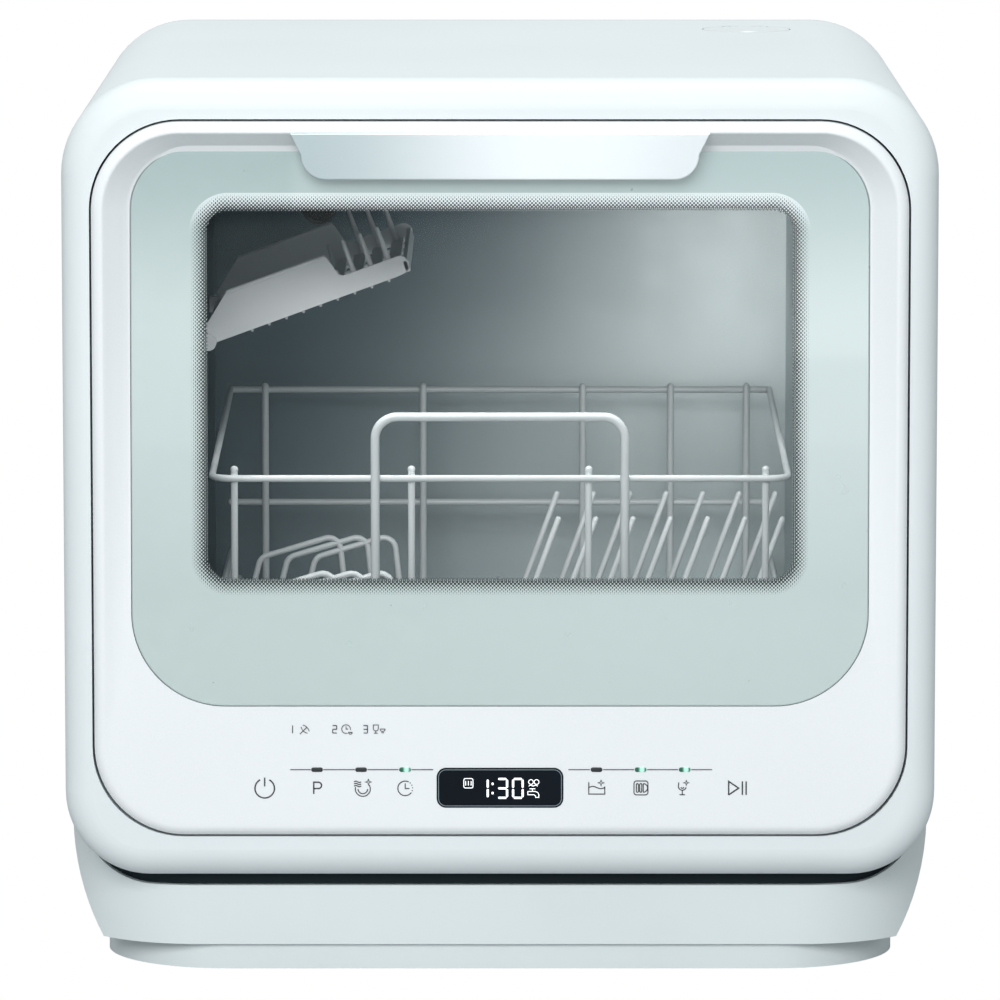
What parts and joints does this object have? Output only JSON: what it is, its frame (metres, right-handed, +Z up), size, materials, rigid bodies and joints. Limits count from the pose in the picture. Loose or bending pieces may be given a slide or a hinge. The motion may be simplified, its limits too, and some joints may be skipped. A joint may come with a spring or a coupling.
{
  "type": "countertop dishwasher",
  "caption": "Free-standing countertop dishwasher: rounded white cabinet on a cradle base, drop-down glass door, wire rack, fold-up cup shelf, spray arm and filler lid.",
  "frame": {"origin": "on the ground, under the middle of the whole object", "axes": "+X to the right seen from the front, +Y to the back, +Z up; the door faces -Y"},
  "size_m": [0.42, 0.435, 0.435],
  "materials": {
    "wrap_paint": "semi-gloss powder coat, white",
    "frame_white": "gloss white moulding",
    "cradle_white": "satin white moulding",
    "dark_trim": "dark slate, satin",
    "rubber": "matt black",
    "seal_rubber": "matt dark grey",
    "steel": "satin stainless steel",
    "bright_metal": "bright plated",
    "grey_plastic": "moulded grey",
    "dark_plastic": "moulded black",
    "clear_plastic": "milky translucent moulding",
    "white_plastic": "white moulding",
    "wire_coat": "light grey coating on steel wire",
    "pull_silver": "brushed and clear lacquered",
    "glass_print": "clear window with a silver printed border",
    "glass_clear": "clear",
    "display_black": "piano black",
    "board_green": "solder mask",
    "spring_brass": "bright",
    "light_pipe": "clear diffuser"
  },
  "bodies": {
    "cabinet": {"outer_wrap": "wrap_paint", "front_frame": "frame_white", "rear_panel": "wrap_paint", "cradle_base": "cradle_white", "dark_band": "dark_trim", "rubber_feet": "rubber", "tub": "steel", "tub_flange": "steel", "tub_gasket": "seal_rubber", "sump": "grey_plastic", "filter_plate": "steel", "filter_mesh": "white_plastic", "spray_spindle": "grey_plastic", "wash_pump": "grey_plastic", "drain_pump": "dark_plastic", "heater": "steel", "water_tank": "clear_plastic", "filler_neck": "clear_plastic", "lid_pin": "bright_metal", "inlet_valve": "white_plastic", "level_switch": "dark_plastic", "drying_fan": "dark_plastic", "main_board": "board_green", "cord_gland": "dark_plastic", "inlet_connector": "grey_plastic", "drain_spigot": "grey_plastic", "rack_rails": "grey_plastic", "hinge_brackets": "bright_metal", "latch_switch": "dark_plastic", "shelf_bracket": "white_plastic", "pump_pipes": "grey_plastic", "rear_screws": "bright_metal"},
    "door": {"door_shell": "frame_white", "glass_panel": "glass_print", "glass_inner": "glass_clear", "door_liner": "steel", "window_gasket": "seal_rubber", "pull_plate": "pull_silver", "display_window": "display_black", "control_board": "board_green", "touch_springs": "spring_brass", "light_guides": "light_pipe", "latch_tongue": "bright_metal", "hinge_leaves": "bright_metal", "hinge_pins": "bright_metal", "detergent_cup": "grey_plastic", "door_screws": "bright_metal"},
    "rack": {"rack_floor": "wire_coat", "rack_front": "wire_coat", "rack_rear": "wire_coat", "rack_sides": "wire_coat", "rack_grip": "wire_coat", "tines_front": "wire_coat", "tines_rear": "wire_coat", "cup_loops": "wire_coat", "rack_shoes": "grey_plastic"},
    "spray_arm": {"spray_arm": "grey_plastic"},
    "cup_shelf": {"cup_shelf": "white_plastic"},
    "filler_lid": {"filler_lid": "white_plastic"}
  },
  "joints": [
    {"name": "door_hinge", "type": "hinge", "parent": "cabinet", "child": "door", "pos_m": [0, -0.2115, 0.0764], "axis": [1, 0, 0], "range_deg": [0, 90]},
    {"name": "rack_slide", "type": "slide", "parent": "cabinet", "child": "rack", "axis": [0, -1, 0], "range_m": [0, 0.12]},
    {"name": "spray_arm_spin", "type": "hinge", "parent": "cabinet", "child": "spray_arm", "pos_m": [0, -0.017, 0.123], "axis": [0, 0, 1], "continuous": true},
    {"name": "cup_shelf_fold", "type": "hinge", "parent": "cabinet", "child": "cup_shelf", "pos_m": [-0.144, -0.002, 0.296], "axis": [0, -1, 0], "range_deg": [0, 30]},
    {"name": "filler_lid_hinge", "type": "hinge", "parent": "cabinet", "child": "filler_lid", "pos_m": [0.128, 0.151, 0.434], "axis": [-1, 0, 0], "range_deg": [0, 95]}
  ],
  "couplings": [
    {"joint": "rack_slide", "follows": "door_hinge", "m_per_rad": 0.075}
  ]
}
